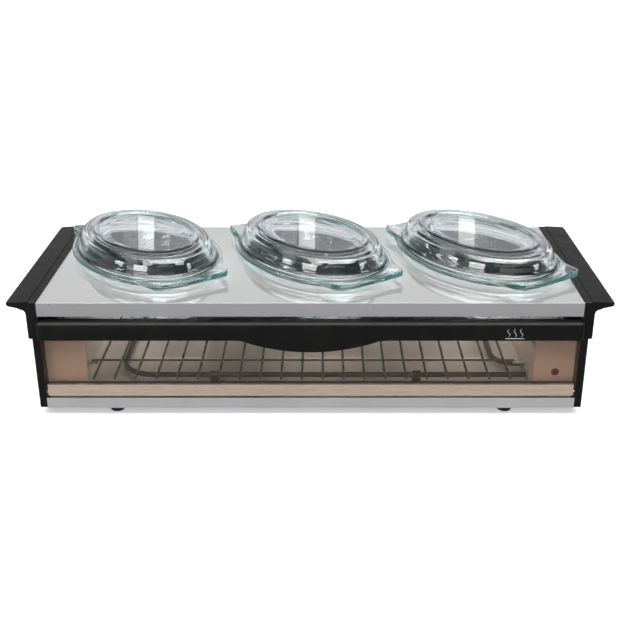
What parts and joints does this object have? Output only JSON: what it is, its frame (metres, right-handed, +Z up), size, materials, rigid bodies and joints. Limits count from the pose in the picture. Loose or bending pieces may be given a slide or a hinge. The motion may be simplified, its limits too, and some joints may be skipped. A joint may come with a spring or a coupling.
{
  "type": "electric buffet server",
  "caption": "Counter-top food warmer with a drop-down smoked glass door, wire rack over a heating element, and lidded oval glass dishes let into its top.",
  "frame": {"origin": "on the table, below the middle of the whole object's box", "axes": "+X to the object's right as seen from its door, +Y to its back, +Z up"},
  "size_m": [0.704, 0.296, 0.1826],
  "materials": {
    "panel_satin": "satin, mirror-like at a low angle",
    "tray_satin": "satin anodised",
    "black_moulding": "fine-grained matt black",
    "sheet_steel": "plain bright zinc finish",
    "reflector": "polished sheet",
    "face_paint": "smooth pale paint",
    "bronze_glass": "smoked bronze, polished",
    "clear_glass": "clear, green at the edges",
    "rail_anodised": "champagne anodised, brushed along its length",
    "seal_rubber": "matt black",
    "element_sheath": "dark oxidised",
    "rack_wire": "darkened bright wire",
    "fastener": "bright plated",
    "brass_part": "plain",
    "ceramic_white": "off-white ceramic or nylon",
    "dark_bakelite": "dark brown moulding",
    "neon_red": "clear red moulding",
    "lead_sleeve": "heat-proof sleeving",
    "dark_paint": "matt heat-proof black paint",
    "heat_steel": "steel tinted brown by heat",
    "foot_rubber": "matt black"
  },
  "bodies": {
    "server": {"top_panel": "panel_satin", "left_cheek": "black_moulding", "right_cheek": "black_moulding", "left_end_plate": "heat_steel", "right_end_plate": "heat_steel", "left_handle": "black_moulding", "right_handle": "black_moulding", "base_tray": "tray_satin", "back_panel": "dark_paint", "reflector_floor": "reflector", "left_end_housing": "face_paint", "right_end_housing": "face_paint", "heating_element": "element_sheath", "element_terminals": "ceramic_white", "element_bushes": "fastener", "element_clips": "heat_steel", "rack_pegs": "fastener", "thermostat": "dark_bakelite", "thermostat_screws": "fastener", "thermal_fuse": "brass_part", "terminal_block": "ceramic_white", "neon_lens": "neon_red", "neon_body": "ceramic_white", "neon_nut": "fastener", "internal_wires": "lead_sleeve", "earth_tag": "brass_part", "cable_gland": "black_moulding", "gland_nut": "black_moulding", "magnetic_catches": "dark_bakelite", "feet": "foot_rubber", "foot_screws": "fastener", "foot_nuts": "fastener", "cheek_screws": "fastener", "handle_screws": "fastener", "back_screws": "fastener"},
    "door": {"door_handle_bar": "black_moulding", "door_glass": "bronze_glass", "door_bottom_rail": "rail_anodised", "door_seal": "seal_rubber", "door_pivot_pins": "fastener", "door_strikes": "sheet_steel", "strike_screws": "fastener"},
    "rack": {"wire_rack": "rack_wire"},
    "left_dish": {"dish_left": "clear_glass"},
    "left_lid": {"lid_left": "clear_glass"},
    "middle_dish": {"dish_middle": "clear_glass"},
    "middle_lid": {"lid_middle": "clear_glass"},
    "right_dish": {"dish_right": "clear_glass"},
    "right_lid": {"lid_right": "clear_glass"}
  },
  "joints": [
    {"name": "door_hinge", "type": "hinge", "parent": "server", "child": "door", "pos_m": [0, -0.135, 0.0298], "axis": [1, 0, 0], "range_deg": [0, 90]},
    {"name": "rack_lift", "type": "slide", "parent": "server", "child": "rack", "axis": [0, 0, 1], "range_m": [0, 0.025]},
    {"name": "left_dish_lift", "type": "slide", "parent": "server", "child": "left_dish", "axis": [0, 0, 1], "range_m": [0, 0.08]},
    {"name": "left_lid_lift", "type": "slide", "parent": "left_dish", "child": "left_lid", "axis": [0, 0, 1], "range_m": [0, 0.06]},
    {"name": "middle_dish_lift", "type": "slide", "parent": "server", "child": "middle_dish", "axis": [0, 0, 1], "range_m": [0, 0.08]},
    {"name": "middle_lid_lift", "type": "slide", "parent": "middle_dish", "child": "middle_lid", "axis": [0, 0, 1], "range_m": [0, 0.06]},
    {"name": "right_dish_lift", "type": "slide", "parent": "server", "child": "right_dish", "axis": [0, 0, 1], "range_m": [0, 0.08]},
    {"name": "right_lid_lift", "type": "slide", "parent": "right_dish", "child": "right_lid", "axis": [0, 0, 1], "range_m": [0, 0.06]}
  ]
}
